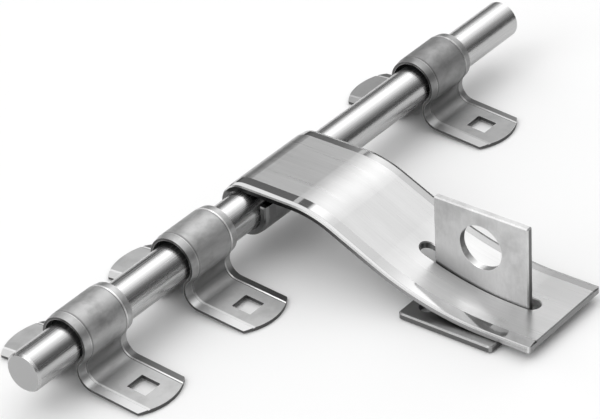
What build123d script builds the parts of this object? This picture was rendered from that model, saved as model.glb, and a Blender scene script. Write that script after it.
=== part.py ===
from build123d import *
import math
import os

os.makedirs("parts", exist_ok=True)

# Sliding round door bolt with a hasp and a padlock staple, all in sheet and bar steel
# Z = 0 is the door face, Y runs along the bolt, X runs from the bolt to the hasp's free end
# Y = 0 is the middle of the bolt, where the hasp is curled round it

# Bolt
rod_diameter = 16.0
rod_length = 304.0
rod_end_bevel = 0.8

# Clamps that hold the bolt to the door
strip_thickness = 1.6
clamp_width = 27.0
arch_play = 1.0
arch_lift = 0.7
neck_angle = 42.4
foot_bend_radius = 5.7
foot_droop = 4.6
clamp_reach = 37.2
foot_end_rise = 4.3
foot_corner_radius = 0.5
rim_width = 3.7
groove_depth = 0.35
groove_inner_slope = 0.75
groove_outer_slope = 0.4
rim_fall = 0.5
square_hole_side = 8.8
square_hole_corner = 0.4
square_hole_offset = 24.6
near_clamp_inset = 36.0
far_clamp_inset = 51.6
clamp_pitch = 61.7

# Hasp
hasp_thickness = 3.0
hasp_width = 48.4
curl_clearance = 0.05
lip_height = 4.5
crown_length = 23.0
shoulder_radius = 45.0
slope_angle = 25.0
toe_radius = 120.0
bevel_width = 3.5
bevel_depth = 0.4
hasp_edge_bevel = 0.5
hasp_corner_radius = 2.0
slot_width = 7.0
slot_inner_margin = 8.4
slot_outer_margin = 2.8
slot_edge_bevel = 0.4
end_bridge = 11.4

# Staple
staple_thickness = 3.0
staple_width = 42.3
staple_offset = 95.9
staple_height = 41.0
staple_bend_radius = 1.0
staple_foot_length = 24.9
staple_foot_corner = 2.0
staple_edge_bevel = 0.5
padlock_hole_radius = 9.4
padlock_hole_height = 25.6
screw_hole_diameter = 7.0
screw_hole_spacing = 27.2
screw_hole_inset = 15.6

# Clearances between the hasp and the staple
seat_clearance = 0.3
slot_clearance = 0.35

# Radii and reaches that follow from the sizes above
rod_radius = rod_diameter / 2
arch_mid_radius = rod_radius + arch_play + strip_thickness / 2
foot_mid_radius = foot_bend_radius + strip_thickness / 2
neck = math.radians(neck_angle)
droop = math.radians(foot_droop)
bend_centre_x = (arch_mid_radius + foot_mid_radius) * math.cos(neck)
bend_centre_z = arch_lift - (arch_mid_radius + foot_mid_radius) * math.sin(neck)
foot_start_x = bend_centre_x - foot_mid_radius * math.sin(droop)
foot_start_z = bend_centre_z - foot_mid_radius * math.cos(droop)
foot_length = (clamp_reach - foot_start_x) / math.cos(droop)
foot_tip_z = foot_start_z - foot_length * math.sin(droop)
slot_inner_x = staple_offset - staple_width / 2 - slot_inner_margin
slot_outer_x = staple_offset + staple_width / 2 + slot_outer_margin
hasp_reach = slot_outer_x + end_bridge

# Places of the clamps along the bolt, from its two ends
near_clamp_y = -rod_length / 2 + near_clamp_inset
middle_clamp_y = near_clamp_y + clamp_pitch
far_clamp_y = rod_length / 2 - far_clamp_inset

# The drooping feet set how high the bolt lies, and the two reaches centre the part on X
axis_height = -(foot_tip_z - strip_thickness / 2 / math.cos(droop))
rod_x = -(hasp_reach - clamp_reach) / 2

# Plate faces of the staple: its near face stands just inside the slot's near edge
plate_near_y = -slot_width / 2 + slot_clearance
plate_far_y = plate_near_y + staple_thickness


def bolt_plane(y):
    """Plane across the bolt at y, with local x along X and local y along Z from its axis."""
    return Plane(origin=(rod_x, y, axis_height), x_dir=(1, 0, 0), z_dir=(0, -1, 0))


def save(piece, name):
    """Label a finished piece and write it."""
    piece.part.label = name
    export_step(piece.part, f"parts/{name}.step")


# Plain round bar with bevelled ends
with BuildPart() as bolt_rod:
    with BuildSketch(bolt_plane(0)):
        Circle(rod_radius)
    extrude(amount=rod_length / 2, both=True)
    chamfer(bolt_rod.edges().filter_by(GeomType.CIRCLE), rod_end_bevel)
save(bolt_rod, "bolt_rod")


def strip_section(plane):
    """Section of a clamp's strip on a plane with x up through its thickness and y across its width."""
    top = strip_thickness / 2
    edge = clamp_width / 2
    groove = edge - rim_width
    half = [
        (top, groove - groove_inner_slope),
        (top - groove_depth, groove),
        (top, groove + groove_outer_slope),
        (top - rim_fall, edge),
        (-top, edge),
    ]
    other_half = [(up, -across) for up, across in reversed(half)]
    with BuildSketch(plane) as section:
        with BuildLine():
            Polyline(*half, *other_half, close=True)
        make_face()
    return section.sketch


def foot_outline(plane):
    """Plan of a whole clamp, with both foot ends bowed and their corners eased."""
    side = clamp_reach - foot_end_rise
    half_width = clamp_width / 2
    with BuildSketch(plane) as outline:
        with BuildLine():
            Line((-side, -half_width), (side, -half_width))
            ThreePointArc((side, -half_width), (clamp_reach, 0), (side, half_width))
            Line((side, half_width), (-side, half_width))
            ThreePointArc((-side, half_width), (-clamp_reach, 0), (-side, -half_width))
        make_face()
        fillet(outline.vertices(), foot_corner_radius)
    return outline.sketch


# Clamp: an omega bent from one grooved strip, pinched below the bolt, with a square-holed foot each side
def make_clamp(y, name):
    plane = bolt_plane(y)
    arch_centre = plane.from_local_coords((0, arch_lift, 0))
    neck_z = arch_lift - arch_mid_radius * math.sin(neck)
    hole_z = foot_start_z - (square_hole_offset - foot_start_x) * math.tan(droop)
    with BuildPart() as clamp:
        for side in (-1, 1):
            neck_place = plane.from_local_coords((side * arch_mid_radius * math.cos(neck), neck_z, 0))
            neck_up = (side * math.cos(neck), 0, -math.sin(neck))
            neck_along = (side * math.sin(neck), 0, math.cos(neck))
            neck_section = strip_section(Plane(origin=neck_place, x_dir=neck_up, z_dir=neck_along))
            bend_centre = plane.from_local_coords((side * bend_centre_x, bend_centre_z, 0))
            bend_angle = 90 + neck_angle - foot_droop
            revolve(neck_section, axis=Axis(bend_centre, (0, -side, 0)), revolution_arc=bend_angle)
            foot_start = plane.from_local_coords((side * foot_start_x, foot_start_z, 0))
            foot_up = (side * math.sin(droop), 0, math.cos(droop))
            foot_along = (side * math.cos(droop), 0, -math.sin(droop))
            foot_section = strip_section(Plane(origin=foot_start, x_dir=foot_up, z_dir=foot_along))
            extrude(foot_section, amount=foot_length)
        # The arch turns from the right neck over to the left one
        revolve(neck_section, axis=Axis(arch_centre, (0, -1, 0)), revolution_arc=180 + 2 * neck_angle)
        extrude(foot_outline(Plane(origin=(rod_x, y, 0))), amount=2 * axis_height, mode=Mode.INTERSECT)
        # Square holes take the square necks of carriage bolts
        for side in (-1, 1):
            centre = plane.from_local_coords((side * square_hole_offset, hole_z, 0))
            normal = (side * math.sin(droop), 0, math.cos(droop))
            with BuildSketch(Plane(origin=centre, x_dir=(0, 1, 0), z_dir=normal)):
                RectangleRounded(square_hole_side, square_hole_side, square_hole_corner)
            extrude(amount=2 * strip_thickness, both=True, mode=Mode.SUBTRACT)
    save(clamp, name)
    return clamp


near_clamp = make_clamp(near_clamp_y, "near_clamp")
middle_clamp = make_clamp(middle_clamp_y, "middle_clamp")
far_clamp = make_clamp(far_clamp_y, "far_clamp")


# Hasp: curled round the bolt, then an S-curve down to a flat end with the staple's slot
with BuildPart() as hasp:
    slope = math.radians(slope_angle)
    curl_radius = rod_radius + curl_clearance + hasp_thickness / 2
    shoulder_mid_radius = shoulder_radius - hasp_thickness / 2
    toe_mid_radius = toe_radius + hasp_thickness / 2
    end_z = staple_thickness + seat_clearance + hasp_thickness / 2 - axis_height
    arc_drop = (shoulder_mid_radius + toe_mid_radius) * (1 - math.cos(slope))
    slope_length = (curl_radius - end_z - arc_drop) / math.sin(slope)
    with BuildSketch(bolt_plane(0)):
        with BuildLine():
            lip = Line((curl_radius, lip_height), (curl_radius, 0))
            curl = JernArc(lip @ 1, lip % 1, curl_radius, -270)
            crown = Line(curl @ 1, curl @ 1 + crown_length * (curl % 1))
            shoulder = JernArc(crown @ 1, crown % 1, shoulder_mid_radius, -slope_angle)
            ramp = Line(shoulder @ 1, shoulder @ 1 + slope_length * (shoulder % 1))
            toe = JernArc(ramp @ 1, ramp % 1, toe_mid_radius, slope_angle)
            Line(toe @ 1, (hasp_reach, end_z))
        trace(line_width=hasp_thickness)
    extrude(amount=hasp_width / 2, both=True)
    # The outer face falls away in a shallow bevel along both long edges
    crown_face = hasp.faces().filter_by(Axis.Z).sort_by(Axis.Z)[-1]
    crown_edges = crown_face.edges().filter_by(Axis.X)
    chamfer(crown_edges, bevel_width, bevel_depth, reference=crown_face)
    # Eased rims along both sides and across the free end, whose corners are rounded in plan
    long_edges = hasp.edges().filter_by(Axis.X).group_by(Axis.Y)
    chamfer(long_edges[0] + long_edges[-1], hasp_edge_bevel)
    end_face = hasp.faces().filter_by(Axis.X).sort_by(Axis.X)[-1]
    end_edges = end_face.edges().filter_by(Axis.Y)
    chamfer(end_edges, hasp_edge_bevel)
    with BuildSketch(Plane(origin=(rod_x, 0, 0))) as plan:
        Rectangle(2 * hasp_reach, hasp_width)
        fillet(plan.vertices(), hasp_corner_radius)
    extrude(amount=2 * axis_height, mode=Mode.INTERSECT)
    # The slot that drops over the staple
    slot_centre = (rod_x + (slot_inner_x + slot_outer_x) / 2, 0, 0)
    with BuildSketch(Plane(origin=slot_centre)):
        SlotOverall(slot_outer_x - slot_inner_x, slot_width)
    extrude(amount=2 * axis_height, mode=Mode.SUBTRACT)
    slot_rim = hasp.edges(Select.LAST).filter_by(Axis.Z, reverse=True)
    chamfer(slot_rim, slot_edge_bevel)
save(hasp, "hasp")

# Staple: an angle plate that stands up through the slot, drilled for a padlock and two screws
with BuildPart() as staple:
    staple_x = rod_x + staple_offset
    with BuildSketch(Plane.YZ.offset(staple_x)):
        with BuildLine():
            Polyline(
                (plate_near_y - staple_foot_length, 0),
                (plate_far_y, 0),
                (plate_far_y, staple_height),
                (plate_near_y, staple_height),
                (plate_near_y, staple_thickness),
                (plate_near_y - staple_foot_length, staple_thickness),
                close=True,
            )
        make_face()
    extrude(amount=staple_width / 2, both=True)
    long_edges = staple.edges().filter_by(Axis.X)
    outside_corner = long_edges.group_by(Axis.Z)[0].sort_by(Axis.Y)[-1]
    inside_corner = long_edges.group_by(Axis.Z)[1].sort_by(Axis.Y)[-1]
    fillet(outside_corner, staple_bend_radius + staple_thickness)
    fillet(inside_corner, staple_bend_radius)
    fillet(staple.edges().filter_by(Axis.Z).group_by(Axis.Y)[0], staple_foot_corner)
    # One bevel along the whole rim of the plate and of its foot
    side_rims = staple.faces().filter_by(Axis.X).edges()
    end_edges = staple.edges().filter_by(Axis.X)
    chamfer(side_rims + end_edges.group_by(Axis.Z)[-1] + end_edges.group_by(Axis.Y)[0], staple_edge_bevel)
    with Locations(Plane(origin=(staple_x, plate_near_y, padlock_hole_height), z_dir=(0, -1, 0))):
        Hole(padlock_hole_radius)
    with Locations((staple_x, plate_near_y - screw_hole_inset, staple_thickness)):
        with GridLocations(screw_hole_spacing, 0, 2, 1):
            Hole(screw_hole_diameter / 2)
save(staple, "staple")
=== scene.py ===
import math

import bpy
from mathutils import Matrix, Vector


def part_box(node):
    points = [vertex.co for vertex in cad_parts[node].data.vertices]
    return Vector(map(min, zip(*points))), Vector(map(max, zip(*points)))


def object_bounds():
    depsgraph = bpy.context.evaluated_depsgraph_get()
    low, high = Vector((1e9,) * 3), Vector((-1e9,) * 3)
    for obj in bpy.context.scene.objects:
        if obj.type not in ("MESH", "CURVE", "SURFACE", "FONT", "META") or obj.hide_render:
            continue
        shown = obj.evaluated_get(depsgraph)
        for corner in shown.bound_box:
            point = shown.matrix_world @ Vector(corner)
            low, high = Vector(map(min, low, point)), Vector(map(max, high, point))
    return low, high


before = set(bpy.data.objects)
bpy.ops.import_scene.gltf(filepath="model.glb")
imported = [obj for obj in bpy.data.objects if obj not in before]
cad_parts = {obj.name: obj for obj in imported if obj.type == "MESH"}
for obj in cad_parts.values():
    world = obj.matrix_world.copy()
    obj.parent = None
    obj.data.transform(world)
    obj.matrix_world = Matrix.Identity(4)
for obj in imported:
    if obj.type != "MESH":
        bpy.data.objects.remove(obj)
cad_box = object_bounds()
bpy.ops.object.select_all(action="DESELECT")

MM = 0.001
CLAMPS = ("near_clamp", "middle_clamp", "far_clamp")


def grey(level):
    """Neutral colour of a given brightness."""
    return (level, level, level, 1.0)


# Steel tones that the pieces share
STEEL = grey(0.50)
# Bright tone for polish and rubbed edges, also laid on as a painted highlight
POLISH_AND_HIGHLIGHT = grey(0.66)

# How squarely a surface faces sideways, from where it starts to count as a cut wall to where it is one
WALL_FACING = (0.8, 0.9)


def middle(node):
    """Middle of a CAD node's box."""
    low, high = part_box(node)
    return (low + high) / 2


# Node building

def new_material(name):
    """A metal with an empty node tree but for its shader and output."""
    material = bpy.data.materials.new(name)
    material.use_nodes = True
    shader = material.node_tree.nodes["Principled BSDF"]
    shader.inputs["Metallic"].default_value = 1.0
    return material, material.node_tree, shader


def add(tree, kind, **values):
    """A node with properties set from its keywords."""
    node = tree.nodes.new(kind)
    for key, value in values.items():
        setattr(node, key, value)
    return node


def feed(tree, socket, value):
    """Feed a socket from another socket, or set its own value."""
    if isinstance(value, bpy.types.NodeSocket):
        tree.links.new(value, socket)
    else:
        socket.default_value = value


def maths(tree, operation, first, second=0.0):
    """Result of one maths step on two sockets or numbers."""
    node = add(tree, "ShaderNodeMath", operation=operation)
    feed(tree, node.inputs[0], first)
    feed(tree, node.inputs[1], second)
    return node.outputs[0]


def both(tree, first, second):
    """Share where both of two shares hold."""
    return maths(tree, "MULTIPLY", first, second)


def beyond(tree, value, limit):
    """How far a value lies beyond a limit, zero before it."""
    return maths(tree, "MAXIMUM", maths(tree, "SUBTRACT", value, limit), 0.0)


def remap(tree, value, from_low, from_high, to_low=0.0, to_high=1.0, smooth=False):
    """Value mapped from one range to another and held inside it."""
    node = add(tree, "ShaderNodeMapRange", interpolation_type="SMOOTHSTEP" if smooth else "LINEAR")
    feed(tree, node.inputs["Value"], value)
    limits = (from_low, from_high, to_low, to_high)
    for label, limit in zip(("From Min", "From Max", "To Min", "To Max"), limits):
        node.inputs[label].default_value = limit
    return node.outputs["Result"]


def band(tree, value, low, high, edge):
    """One between two limits, zero outside them, with edges of the given width."""
    rise = remap(tree, value, low, low + edge)
    drop = remap(tree, value, high - edge, high, 1.0, 0.0)
    return both(tree, rise, drop)


def mix(tree, kind, share, first, second):
    """First value turning into the second as the share goes from nought to one."""
    node = add(tree, "ShaderNodeMix", data_type=kind)
    feed(tree, node.inputs["Factor"], share)
    feed(tree, node.inputs["A"], first)
    feed(tree, node.inputs["B"], second)
    return node.outputs["Result"]


def mix_colour(tree, share, first, second):
    """Colour between two colours."""
    return mix(tree, "RGBA", share, first, second)


def mix_number(tree, share, first, second):
    """Number between two numbers."""
    return mix(tree, "FLOAT", share, first, second)


def place(tree):
    """Position on the object as a socket."""
    return add(tree, "ShaderNodeTexCoord").outputs["Object"]


def facing(tree):
    """Direction that the surface faces, in the object's own axes."""
    return add(tree, "ShaderNodeTexCoord").outputs["Normal"]


def axes(tree, vector):
    """X, Y and Z of a vector."""
    node = add(tree, "ShaderNodeSeparateXYZ")
    tree.links.new(vector, node.inputs[0])
    return node.outputs


def streaks(tree, vector, scale, detail=5.0):
    """Noise drawn out along the axis whose scale is smallest."""
    mapping = add(tree, "ShaderNodeMapping")
    tree.links.new(vector, mapping.inputs["Vector"])
    mapping.inputs["Scale"].default_value = scale
    noise = add(tree, "ShaderNodeTexNoise")
    tree.links.new(mapping.outputs[0], noise.inputs["Vector"])
    noise.inputs["Scale"].default_value = 1.0
    noise.inputs["Detail"].default_value = detail
    noise.inputs["Roughness"].default_value = 0.6
    return noise.outputs[0]


def edge_wear_and_highlight(tree, radius):
    """Share of rubbed edge, which also carries a painted highlight: one where the surface turns within the
    radius, zero on the flat.
    """
    bevel = add(tree, "ShaderNodeBevel", samples=6)
    bevel.inputs["Radius"].default_value = radius
    geometry = add(tree, "ShaderNodeNewGeometry")
    dot = add(tree, "ShaderNodeVectorMath", operation="DOT_PRODUCT")
    tree.links.new(bevel.outputs[0], dot.inputs[0])
    tree.links.new(geometry.outputs["Normal"], dot.inputs[1])
    return remap(tree, dot.outputs["Value"], 0.98, 0.84)


def satin(tree, grain, patches, tone, rough, bump):
    """Satin ground: grain in colour, roughness and relief, and slow patches in the tone."""
    fleck = remap(tree, grain, 0.3, 0.7)
    patch = remap(tree, patches, 0.35, 0.65)
    low = grey(tone[0] * 0.86)
    high = grey(tone[0] * 1.10)
    fleck_part = maths(tree, "MULTIPLY", fleck, 0.6)
    patch_part = maths(tree, "MULTIPLY", patch, 0.4)
    colour = mix_colour(tree, maths(tree, "ADD", fleck_part, patch_part), low, high)
    roughness = remap(tree, grain, 0.3, 0.7, *rough)
    relief = add(tree, "ShaderNodeBump")
    relief.inputs["Strength"].default_value = bump
    relief.inputs["Distance"].default_value = 0.02 * MM
    tree.links.new(grain, relief.inputs["Height"])
    return colour, roughness, relief


def finish(tree, shader, colour, roughness, relief):
    """Lead the finished colour, roughness and relief into the shader."""
    tree.links.new(colour, shader.inputs["Base Color"])
    tree.links.new(roughness, shader.inputs["Roughness"])
    tree.links.new(relief.outputs[0], shader.inputs["Normal"])


# Finishes. A fade is a pair of places: where the finish starts, and where it is full.

# Bolt bar
BAR_END = grey(0.43)
BAR_END_ROUGH = 0.42
BAR_END_FACING = (0.85, 0.95)
BAR_EDGE_RADIUS = 0.5 * MM


def bolt_bar_finish():
    """Round bar drawn bright: faint grain along the bar, sawn satin ends inside a rubbed ring lightened
    with a painted highlight.
    """
    material, tree, shader = new_material("bolt_bar")
    spot = place(tree)
    grain = streaks(tree, spot, scale=(1500.0, 14.0, 1500.0))
    patches = streaks(tree, spot, scale=(90.0, 9.0, 90.0), detail=2.0)
    colour, roughness, relief = satin(tree, grain, patches, STEEL, rough=(0.21, 0.30), bump=0.14)
    turned = axes(tree, facing(tree))["Y"]
    end = remap(tree, maths(tree, "ABSOLUTE", turned), *BAR_END_FACING)
    colour = mix_colour(tree, end, colour, BAR_END)
    roughness = mix_number(tree, end, roughness, BAR_END_ROUGH)
    # Rubbed edges, lightened with a painted highlight
    wear_and_highlight = edge_wear_and_highlight(tree, BAR_EDGE_RADIUS)
    colour = mix_colour(tree, wear_and_highlight, colour, POLISH_AND_HIGHLIGHT)
    finish(tree, shader, colour, roughness, relief)
    return material


# Clamps: tones and roughness
STRIP_STEEL = grey(0.47)
GROOVE_SHADE = grey(0.22)
GROOVE_LIP_HIGHLIGHT = grey(0.88)
STRIP_CLOUD = grey(0.24)
BEND_SHADE = grey(0.27)
FOOT_NEAR_RIM_HIGHLIGHT = grey(0.74)
FOOT_FAR_RIM_SHADE = grey(0.20)
FAR_CLAMP_DARK = grey(0.13)
SHADED_STRIP_WALL = grey(0.11)
STRIP_RIM_ROUGH = 0.30
STRIP_WORN_ROUGH = 0.25

# Clamps: the rim, and the groove's painted shade and the painted highlight on its lip, as distances across
# the strip from its middle
CLAMP_HALF_WIDTH = 13.5 * MM
RIM_START = CLAMP_HALF_WIDTH - 3.7 * MM
RIM_FADE = (RIM_START - 0.1 * MM, RIM_START + 0.2 * MM)
GROOVE_SHADE_BAND = (RIM_START - 0.75 * MM, RIM_START + 0.05 * MM)
GROOVE_SHADE_EDGE = 0.25 * MM
LIP_HIGHLIGHT_BAND = (RIM_START + 0.05 * MM, RIM_START + 0.6 * MM)
LIP_HIGHLIGHT_EDGE = 0.15 * MM
STRIP_EDGE_RADIUS = 0.35 * MM

# Clamps: the feet and their bends, by height and by distance from the bar's middle, and the far clamp
FOOT_FADE_Z = (7.0 * MM, 5.0 * MM)
FOOT_END_FACING = (0.35, 0.20)
BEND_FADE_Z = (14.0 * MM, 7.0 * MM)
BEND_FADE_REACH = (17.5 * MM, 13.0 * MM)
FAR_CLAMP_FADE_Y = (70.0 * MM, 80.0 * MM)


def across_clamps(tree, y):
    """Distance along the bolt from the middle of the nearest clamp."""
    nearest = None
    for clamp in CLAMPS:
        distance = maths(tree, "ABSOLUTE", maths(tree, "SUBTRACT", y, middle(clamp).y))
        nearest = distance if nearest is None else maths(tree, "MINIMUM", nearest, distance)
    return nearest


def clamp_strip_finish():
    """Satin strip: smoother rims, a groove with painted shade beside a painted highlight on its lip, feet
    with painted highlight and shade, and shorn walls darkened with painted shade.
    """
    material, tree, shader = new_material("clamp_strip")
    spot = place(tree)
    x, y, z = axes(tree, spot)[:3]
    turned, upward = axes(tree, facing(tree))[1:3]
    grain = streaks(tree, spot, scale=(900.0, 300.0, 900.0))
    patches = streaks(tree, spot, scale=(110.0, 90.0, 110.0), detail=3.0)
    colour, roughness, relief = satin(tree, grain, patches, STRIP_STEEL, rough=(0.46, 0.60), bump=0.18)
    across = across_clamps(tree, y)
    rim = remap(tree, across, *RIM_FADE)
    roughness = mix_number(tree, maths(tree, "MULTIPLY", rim, 0.5), roughness, STRIP_RIM_ROUGH)
    # Painted shade on the groove's inner slope and a painted highlight on its lip outside
    groove_shade = band(tree, across, *GROOVE_SHADE_BAND, GROOVE_SHADE_EDGE)
    colour = mix_colour(tree, maths(tree, "MULTIPLY", groove_shade, 0.75), colour, GROOVE_SHADE)
    lip_highlight = band(tree, across, *LIP_HIGHLIGHT_BAND, LIP_HIGHLIGHT_EDGE)
    colour = mix_colour(tree, maths(tree, "MULTIPLY", lip_highlight, 0.75), colour, GROOVE_LIP_HIGHLIGHT)
    cloud_noise = streaks(tree, spot, scale=(150.0, 120.0, 150.0), detail=4.0)
    clouds = remap(tree, cloud_noise, 0.47, 0.66, 0.0, 0.50)
    colour = mix_colour(tree, clouds, colour, STRIP_CLOUD)
    # Painted shade on the inside of each foot's bend
    beside = maths(tree, "ABSOLUTE", maths(tree, "SUBTRACT", x, middle("bolt_rod").x))
    bend_shade = both(tree, remap(tree, beside, *BEND_FADE_REACH), remap(tree, z, *BEND_FADE_Z))
    bend_shade = both(tree, bend_shade, maths(tree, "SUBTRACT", 1.0, rim))
    colour = mix_colour(tree, bend_shade, colour, BEND_SHADE)
    # Painted highlight on the flat feet, strongest along the rim nearer the keeper's end of the bolt, with
    # painted shade along the far rim
    foot = remap(tree, z, *FOOT_FADE_Z)
    colour = mix_colour(tree, maths(tree, "MULTIPLY", foot, 0.4), colour, POLISH_AND_HIGHLIGHT)
    near_rim = both(tree, foot, remap(tree, turned, -0.03, -0.10))
    far_rim = both(tree, foot, remap(tree, turned, 0.03, 0.10))
    colour = mix_colour(tree, near_rim, colour, FOOT_NEAR_RIM_HIGHLIGHT)
    colour = mix_colour(tree, far_rim, colour, FOOT_FAR_RIM_SHADE)
    # The far clamp is darker than the other two
    far_darkening = remap(tree, y, *FAR_CLAMP_FADE_Y, 0.0, 0.45)
    colour = mix_colour(tree, far_darkening, colour, FAR_CLAMP_DARK)
    # Shorn walls along both sides and at the feet's ends, darkened with painted shade
    wall = remap(tree, maths(tree, "ABSOLUTE", turned), *WALL_FACING)
    foot_end = both(tree, foot, remap(tree, maths(tree, "ABSOLUTE", upward), *FOOT_END_FACING))
    colour = mix_colour(tree, maths(tree, "MAXIMUM", wall, foot_end), colour, SHADED_STRIP_WALL)
    # Rubbed edges, lightened with a painted highlight
    wear_and_highlight = maths(tree, "MULTIPLY", edge_wear_and_highlight(tree, STRIP_EDGE_RADIUS), 0.7)
    colour = mix_colour(tree, wear_and_highlight, colour, POLISH_AND_HIGHLIGHT)
    roughness = mix_number(tree, wear_and_highlight, roughness, STRIP_WORN_ROUGH)
    finish(tree, shader, colour, roughness, relief)
    return material


# Hasp: tones, roughness and relief of the brushed grain
HASP_STEEL = grey(0.46)
MIRROR = grey(0.40)
FAR_TOE_MIRROR_SHADE = grey(0.27)
CURL_WALL_SHADE = grey(0.03)
TOE_WALL = grey(0.46)
TOE_END = grey(0.24)
CURL_SHADE = grey(0.20)
CROWN_UNDERSIDE_SHADE = grey(0.04)
MIRROR_ROUGH = 0.06
RIM_ROUGH = 0.16
WALL_ROUGH = 0.35
HASP_GRAIN = 0.2
MIRROR_GRAIN = 0.02
HASP_EDGE_RADIUS = 0.3 * MM

# Hasp: distances from its middle line at which the solid's bevel, the polished bevels and the rims start.
# On the near side the last two widen from the curl to the slotted end.
CAD_BEVEL_START = 20.7 * MM
NEAR_BEVEL = (17.6 * MM, 18.7 * MM)
FAR_BEVEL = 19.3 * MM
NEAR_RIM = (21.7 * MM, 23.3 * MM)
FAR_RIM = 22.8 * MM
POLISH_EDGE = 0.15 * MM
BEVEL_SLOPE = 0.114
RIM_SLOPE = 0.45

# Hasp: places along it, from the curl to the slotted end, and heights
CURL_X = -40.0 * MM
TOE_X = 50.0 * MM
FAR_TOE_FADE_X = (20.0 * MM, TOE_X)
WALL_FADE_X = (-30.0 * MM, TOE_X)
TOE_END_FACING = (0.9, 0.97)
CURL_SHADE_FADE_X = (-33.0 * MM, -34.5 * MM)
CURL_SHADE_FADE_Z = (26.5 * MM, 25.0 * MM)
UNDERSIDE_FACING = (-0.5, -0.7)
UNDERSIDE_FADE_X = (-12.0 * MM, -22.0 * MM)
UNDERSIDE_FADE_Z = (25.5 * MM, 27.0 * MM)
EDGE_MARK_FLAT_FADE = (18.0 * MM, 17.0 * MM)


def hasp_plate_finish():
    """Plate brushed along its length, with mirror bevels, rolled rims lightened with a painted highlight
    and shorn walls darkened with painted shade.
    """
    material, tree, shader = new_material("hasp_plate")
    spot = place(tree)
    x, y, z = axes(tree, spot)[:3]
    grain = streaks(tree, spot, scale=(25.0, 1300.0, 25.0))
    patches = streaks(tree, spot, scale=(20.0, 80.0, 20.0), detail=3.0)
    colour, roughness, relief = satin(tree, grain, patches, HASP_STEEL, rough=(0.26, 0.38), bump=HASP_GRAIN)
    across = maths(tree, "ABSOLUTE", y)
    far_side = remap(tree, y, -1.0 * MM, 1.0 * MM)
    # The polished bevels lie further in on the near side, most of all beside the curl
    near_bevel = remap(tree, x, CURL_X, TOE_X, *NEAR_BEVEL)
    bevel_start = mix_number(tree, far_side, near_bevel, FAR_BEVEL)
    bevel = remap(tree, beyond(tree, across, bevel_start), 0.0, POLISH_EDGE)
    # On the far side the mirror bevel is painted darker towards the slotted end, a painted dark reflection
    far_toe_shade = both(tree, far_side, remap(tree, x, *FAR_TOE_FADE_X))
    mirror_with_painted_reflection = mix_colour(tree, far_toe_shade, MIRROR, FAR_TOE_MIRROR_SHADE)
    colour = mix_colour(tree, bevel, colour, mirror_with_painted_reflection)
    roughness = mix_number(tree, bevel, roughness, MIRROR_ROUGH)
    tree.links.new(mix_number(tree, bevel, HASP_GRAIN, MIRROR_GRAIN), relief.inputs["Strength"])
    # The rims roll over outside the bevels
    near_rim = remap(tree, x, CURL_X, TOE_X, *NEAR_RIM)
    rim_start = mix_number(tree, far_side, near_rim, FAR_RIM)
    past_rim = beyond(tree, across, rim_start)
    # The rims roll over outside the bevels, smoother and lightened with a painted highlight
    rim = remap(tree, past_rim, 0.0, POLISH_EDGE)
    colour = mix_colour(tree, rim, colour, POLISH_AND_HIGHLIGHT)
    roughness = mix_number(tree, rim, roughness, RIM_ROUGH)
    # The polished bevel slopes like the solid's own, which starts further out and takes over there
    past_bevel = beyond(tree, maths(tree, "MINIMUM", across, CAD_BEVEL_START), bevel_start)
    bevel_fall = maths(tree, "MULTIPLY", past_bevel, -BEVEL_SLOPE)
    rim_fall = maths(tree, "MULTIPLY", past_rim, -RIM_SLOPE)
    roll = add(tree, "ShaderNodeBump")
    roll.inputs["Strength"].default_value = 1.0
    roll.inputs["Distance"].default_value = 1.0
    tree.links.new(maths(tree, "ADD", bevel_fall, rim_fall), roll.inputs["Height"])
    tree.links.new(roll.outputs[0], relief.inputs["Normal"])
    # Shorn walls with painted shade: darkest beside the curl and lighter towards the slotted end, whose own
    # wall is darker
    turned = axes(tree, facing(tree))
    wall = remap(tree, maths(tree, "ABSOLUTE", turned["Y"]), *WALL_FACING)
    toward_toe = remap(tree, x, *WALL_FADE_X)
    wall_shade = mix_colour(tree, toward_toe, CURL_WALL_SHADE, TOE_WALL)
    colour = mix_colour(tree, wall, colour, wall_shade)
    roughness = mix_number(tree, wall, roughness, WALL_ROUGH)
    colour = mix_colour(tree, remap(tree, turned["X"], *TOE_END_FACING), colour, TOE_END)
    # Painted shade on the curl below its crown and on the underside of the bend beside it
    curl_shade = both(tree, remap(tree, z, *CURL_SHADE_FADE_Z), remap(tree, x, *CURL_SHADE_FADE_X))
    colour = mix_colour(tree, curl_shade, colour, CURL_SHADE)
    facing_down = remap(tree, turned["Z"], *UNDERSIDE_FACING)
    underside_shade = both(tree, facing_down, remap(tree, x, *UNDERSIDE_FADE_X))
    underside_shade = both(tree, underside_shade, remap(tree, z, *UNDERSIDE_FADE_Z))
    colour = mix_colour(tree, underside_shade, colour, CROWN_UNDERSIDE_SHADE)
    # Rubbed edges, lightened with a painted highlight
    wear_and_highlight = both(tree, edge_wear_and_highlight(tree, HASP_EDGE_RADIUS), remap(tree, across, *EDGE_MARK_FLAT_FADE))
    colour = mix_colour(tree, wear_and_highlight, colour, POLISH_AND_HIGHLIGHT)
    finish(tree, shader, colour, roughness, relief)
    return material


# Staple
STAPLE_STEEL = grey(0.66)
STAPLE_FOOT_SHADE = grey(0.34)
STAPLE_WALL_SHADE = grey(0.15)
STAPLE_CLOUD_AND_SHADE = grey(0.15)
STAPLE_WORN_ROUGH = 0.2
STAPLE_EDGE_RADIUS = 0.5 * MM
STAPLE_FOOT_FADE_Z = (6.0 * MM, 3.5 * MM)
STAPLE_WALL_FACING = (0.85, 0.95)
STAPLE_FOOT_EDGE_FACING = (-0.85, -0.95)
LOW_SHADE_FADE_X = (58.0 * MM, 30.0 * MM)
LOW_SHADE_FADE_Z = (21.0 * MM, 9.0 * MM)


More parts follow.
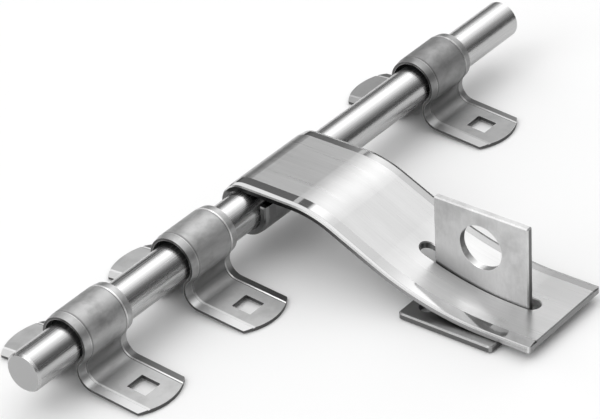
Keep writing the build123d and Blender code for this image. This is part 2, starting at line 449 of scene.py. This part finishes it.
def staple_plate_finish():
    """Satin plate with painted shade on its foot and side walls, clouds, a patch of painted shade and
    rubbed edges lightened with a painted highlight.
    """
    material, tree, shader = new_material("staple_plate")
    spot = place(tree)
    x, _, z = axes(tree, spot)[:3]
    grain = streaks(tree, spot, scale=(700.0, 250.0, 250.0))
    patches = streaks(tree, spot, scale=(60.0, 60.0, 60.0), detail=3.0)
    colour, roughness, relief = satin(tree, grain, patches, STAPLE_STEEL, rough=(0.32, 0.44), bump=0.15)
    # Painted shade on the foot, which lies under the hasp
    foot = remap(tree, z, *STAPLE_FOOT_FADE_Z)
    colour = mix_colour(tree, foot, colour, STAPLE_FOOT_SHADE)
    turned = axes(tree, facing(tree))
    # Side walls and the foot's near edge darkened with painted shade
    side = remap(tree, maths(tree, "ABSOLUTE", turned["X"]), *STAPLE_WALL_FACING)
    foot_edge = both(tree, foot, remap(tree, turned["Y"], *STAPLE_FOOT_EDGE_FACING))
    colour = mix_colour(tree, maths(tree, "MAXIMUM", side, foot_edge), colour, STAPLE_WALL_SHADE)
    cloud_noise = streaks(tree, spot, scale=(70.0, 70.0, 70.0), detail=4.0)
    clouds = remap(tree, cloud_noise, 0.50, 0.70, 0.0, 0.28)
    # Painted shade low on the upright, at its end nearer the bolt
    low_shade = both(tree, remap(tree, z, *LOW_SHADE_FADE_Z), remap(tree, x, *LOW_SHADE_FADE_X))
    low_shade = both(tree, low_shade, maths(tree, "SUBTRACT", 1.0, foot))
    colour = mix_colour(tree, maths(tree, "MAXIMUM", clouds, low_shade), colour, STAPLE_CLOUD_AND_SHADE)
    # Rubbed edges, lightened with a painted highlight
    wear_and_highlight = edge_wear_and_highlight(tree, STAPLE_EDGE_RADIUS)
    colour = mix_colour(tree, wear_and_highlight, colour, POLISH_AND_HIGHLIGHT)
    roughness = mix_number(tree, wear_and_highlight, roughness, STAPLE_WORN_ROUGH)
    finish(tree, shader, colour, roughness, relief)
    return material


def dress(material, *nodes):
    """Give CAD nodes their finish in every material slot."""
    for node in nodes:
        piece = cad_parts[node]
        if not piece.material_slots:
            piece.data.materials.append(material)
        for slot in piece.material_slots:
            slot.material = material


dress(bolt_bar_finish(), "bolt_rod")
dress(hasp_plate_finish(), "hasp")
dress(staple_plate_finish(), "staple")
dress(clamp_strip_finish(), *CLAMPS)


# Floor
FLOOR_SIZE = 12.0
FLOOR_GAP = 0.05 * MM
FLOOR_TONE = grey(0.90)


def pale_floor():
    """Wide pale floor on which the part lies."""
    bpy.ops.mesh.primitive_plane_add(size=FLOOR_SIZE, location=(0.0, 0.0, 0.0))
    floor = bpy.context.object
    floor.name = "floor"
    floor.data.transform(Matrix.Translation((0.0, 0.0, cad_box[0][2] - FLOOR_GAP)))
    material = bpy.data.materials.new("floor")
    material.use_nodes = True
    shader = material.node_tree.nodes["Principled BSDF"]
    shader.inputs["Base Color"].default_value = FLOOR_TONE
    shader.inputs["Roughness"].default_value = 0.9
    shader.inputs["Specular IOR Level"].default_value = 0.0
    floor.data.materials.append(material)


pale_floor()


# Light: a long soft strip overhead, whose middle stretch is a plain ceiling. Two dark flags cross its far
# left part, and a narrow bright gap cuts through both. Zones are directions along X, Y or Z, from -1 to 1.

# Brightness of the strip from left to right: direction along X, level
STRIP_LEVELS = (
    (-0.76, 0.12), (-0.63, 0.35), (-0.53, 0.80), (-0.47, 1.70), (-0.40, 2.40), (-0.30, 2.70),
    (-0.08, 2.50), (0.06, 1.80), (0.20, 1.45), (0.35, 0.95), (0.50, 0.45), (0.68, 0.10),
)
STRIP_PEAK = 2.7

# The strip dims towards its far end, to a share of its brightness
FAR_FALL_Y = (0.77, 0.81)
FAR_SHARE = 0.7

CEILING_Y = (-0.36, 0.44)
CEILING_EDGE = 0.06
CEILING_FALL_X = (0.40, 0.85)
CEILING_LIGHT = 1.15
CEILING_END_LIGHT = 0.2

NEAR_FLAG_Y = (0.45, 0.575)
FAR_FLAG_Y = (0.715, 0.792)
FLAG_START_X = (-0.27, -0.33)
FLAG_LIGHT = 0.28
GAP_X = (-0.522, -0.462)
GAP_LIGHT = 1.2
FLAG_EDGE = 0.01

# Light from the sides, and the height over which it grows into the light from above
SIDE_LIGHT = 0.10
LIFT_Z = (0.02, 0.34)


def strip_light(tree, x, y):
    """Brightness of the overhead strip."""
    ramp = add(tree, "ShaderNodeValToRGB")
    stops = ramp.color_ramp.elements
    while len(stops) < len(STRIP_LEVELS):
        stops.new(0.5)
    for stop, (along, level) in zip(stops, STRIP_LEVELS):
        stop.position = (along + 1.0) / 2.0
        stop.color = grey(level / STRIP_PEAK)
    tree.links.new(remap(tree, x, -1.0, 1.0), ramp.inputs["Fac"])
    strip = maths(tree, "MULTIPLY", ramp.outputs["Color"], STRIP_PEAK)
    return maths(tree, "MULTIPLY", strip, remap(tree, y, *FAR_FALL_Y, 1.0, FAR_SHARE))


def studio_light():
    """Soft studio light all round the part."""
    world = bpy.data.worlds.new("studio")
    bpy.context.scene.world = world
    world.use_nodes = True
    tree = world.node_tree
    background = tree.nodes["Background"]
    x, y, z = axes(tree, add(tree, "ShaderNodeTexCoord").outputs["Generated"])[:3]
    ceiling = remap(tree, x, *CEILING_FALL_X, CEILING_LIGHT, CEILING_END_LIGHT)
    in_ceiling = band(tree, y, *CEILING_Y, CEILING_EDGE)
    open_light = mix_number(tree, in_ceiling, strip_light(tree, x, y), ceiling)
    near_flag = band(tree, y, *NEAR_FLAG_Y, FLAG_EDGE)
    far_flag = band(tree, y, *FAR_FLAG_Y, FLAG_EDGE)
    flags = both(tree, maths(tree, "MAXIMUM", near_flag, far_flag), remap(tree, x, *FLAG_START_X))
    flag_light = mix_number(tree, band(tree, x, *GAP_X, FLAG_EDGE), FLAG_LIGHT, GAP_LIGHT)
    overhead = mix_number(tree, flags, open_light, flag_light)
    lift = remap(tree, z, *LIFT_Z, smooth=True)
    level = mix_number(tree, lift, SIDE_LIGHT, overhead)
    tree.links.new(level, background.inputs["Color"])
    background.inputs["Strength"].default_value = 1.0


studio_light()
bpy.context.scene.view_settings.view_transform = "Standard"


# Camera, at the photograph's own place: azimuth from -Y towards +X, height angle, roll and distance
CAMERA_AZIMUTH = math.radians(38.94)
CAMERA_ELEVATION = math.radians(32.78)
CAMERA_ROLL = math.radians(-3.20)
CAMERA_DISTANCE = 1303.8 * MM
CAMERA_AIM = Vector((-60.825, 27.5, -12.82)) * MM
CAMERA_LENS = 195.04
SENSOR_WIDTH = 36.0
CLIP_END = 20.0


def photo_camera():
    """Camera at the photograph's angle and distance."""
    right = Vector((math.cos(CAMERA_AZIMUTH), math.sin(CAMERA_AZIMUTH), 0.0))
    back = Vector((
        math.sin(CAMERA_AZIMUTH) * math.cos(CAMERA_ELEVATION),
        -math.cos(CAMERA_AZIMUTH) * math.cos(CAMERA_ELEVATION),
        math.sin(CAMERA_ELEVATION),
    ))
    up = back.cross(right)
    side = right * math.cos(CAMERA_ROLL) + up * math.sin(CAMERA_ROLL)
    top = up * math.cos(CAMERA_ROLL) - right * math.sin(CAMERA_ROLL)
    camera = bpy.data.objects.new("camera", bpy.data.cameras.new("camera"))
    bpy.context.scene.collection.objects.link(camera)
    camera.data.sensor_width = SENSOR_WIDTH
    camera.data.lens = CAMERA_LENS
    camera.data.clip_end = CLIP_END
    turn = Matrix((side, top, back)).transposed().to_4x4()
    camera.matrix_world = Matrix.Translation(CAMERA_AIM + back * CAMERA_DISTANCE) @ turn
    bpy.context.scene.camera = camera


photo_camera()
